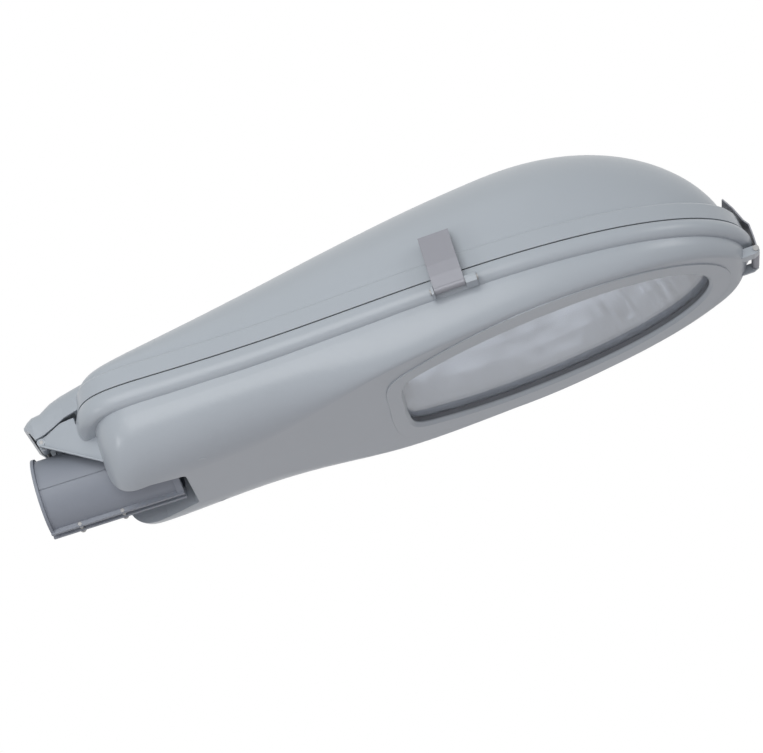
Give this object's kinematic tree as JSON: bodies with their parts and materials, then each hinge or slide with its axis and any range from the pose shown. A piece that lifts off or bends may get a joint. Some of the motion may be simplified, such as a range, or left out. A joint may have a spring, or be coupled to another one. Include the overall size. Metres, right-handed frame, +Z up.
{
  "type": "street light head",
  "caption": "Tapered die-cast street light head with a hinged domed cover, spring latches, a glazed window below and a split pole socket.",
  "frame": {"origin": "centre of the pole socket's mouth", "axes": "+X forward along the socket towards the nose, +Z up, +Y left when looking forward"},
  "size_m": [0.7329, 0.2872, 0.2148],
  "materials": {
    "cast_paint": "satin light blue-grey paint on die-cast aluminium",
    "socket_paint": "matt mid-grey paint on cast aluminium",
    "spring_sheet": "bare spring sheet with fine rolling lines",
    "zinc_steel": "zinc-plated steel",
    "seal_rubber": "soft black rubber",
    "gasket_rubber": "dark grey silicone rubber",
    "clear_glass": "flat toughened glass",
    "reflector_metal": "pressed and brightened aluminium",
    "bulb_glass": "clear glass envelope",
    "cap_brass": "nickel-plated brass screw cap",
    "holder_ceramic": "glazed white porcelain",
    "core_steel": "black varnished steel laminations",
    "winding_wrap": "red-brown impregnated winding wrap",
    "ignitor_case": "light grey moulded case",
    "can_metal": "drawn aluminium can",
    "terminal_plastic": "off-white moulded block",
    "saddle_plastic": "black moulded saddle"
  },
  "bodies": {
    "housing": {"lower_housing": "cast_paint", "socket_sleeve": "socket_paint", "clamp_bolts": "zinc_steel", "socket_bolts": "zinc_steel", "hinge_pin": "zinc_steel", "near_latch_pin": "zinc_steel", "far_latch_pin": "zinc_steel", "front_latch_pin": "zinc_steel", "cover_seal": "seal_rubber", "window_glass": "clear_glass", "glass_gasket": "gasket_rubber", "glass_clips": "zinc_steel", "glass_clip_screws": "zinc_steel", "reflector": "reflector_metal", "lamp_bulb": "bulb_glass", "lamp_cap": "cap_brass", "lamp_holder": "holder_ceramic", "lamp_bracket": "zinc_steel", "lamp_bracket_screws": "zinc_steel", "gear_tray": "zinc_steel", "tray_screws": "zinc_steel", "ballast_core": "core_steel", "ballast_winding": "winding_wrap", "ignitor": "ignitor_case", "capacitor": "can_metal", "capacitor_clip": "zinc_steel", "terminal_block": "terminal_plastic", "cable_clamp": "saddle_plastic", "cable_clamp_screws": "zinc_steel", "cable_grommet": "seal_rubber"},
    "cover": {"upper_cover": "cast_paint"},
    "near_latch": {"near_latch": "spring_sheet"},
    "far_latch": {"far_latch": "spring_sheet"},
    "front_latch": {"front_latch": "spring_sheet"}
  },
  "joints": [
    {"name": "cover_hinge", "type": "hinge", "parent": "housing", "child": "cover", "pos_m": [0.0175, 0, 0.04], "axis": [0, -1, 0], "range_deg": [0, 45]},
    {"name": "near_latch_hinge", "type": "hinge", "parent": "housing", "child": "near_latch", "pos_m": [0.43341, -0.13736, 0.0249], "axis": [0.9979, -0.0655, 0], "range_deg": [0, 112.5]},
    {"name": "far_latch_hinge", "type": "hinge", "parent": "housing", "child": "far_latch", "pos_m": [0.43341, 0.13736, 0.0249], "axis": [-0.9979, -0.0655, 0], "range_deg": [0, 112.5]},
    {"name": "front_latch_hinge", "type": "hinge", "parent": "housing", "child": "front_latch", "pos_m": [0.7285, 0, 0.014], "axis": [0, 1, 0], "range_deg": [0, 180]}
  ],
  "couplings": [
    {"joint": "near_latch_hinge", "follows": "cover_hinge", "ratio": 2.5},
    {"joint": "far_latch_hinge", "follows": "cover_hinge", "ratio": 2.5},
    {"joint": "front_latch_hinge", "follows": "cover_hinge", "ratio": 4}
  ]
}
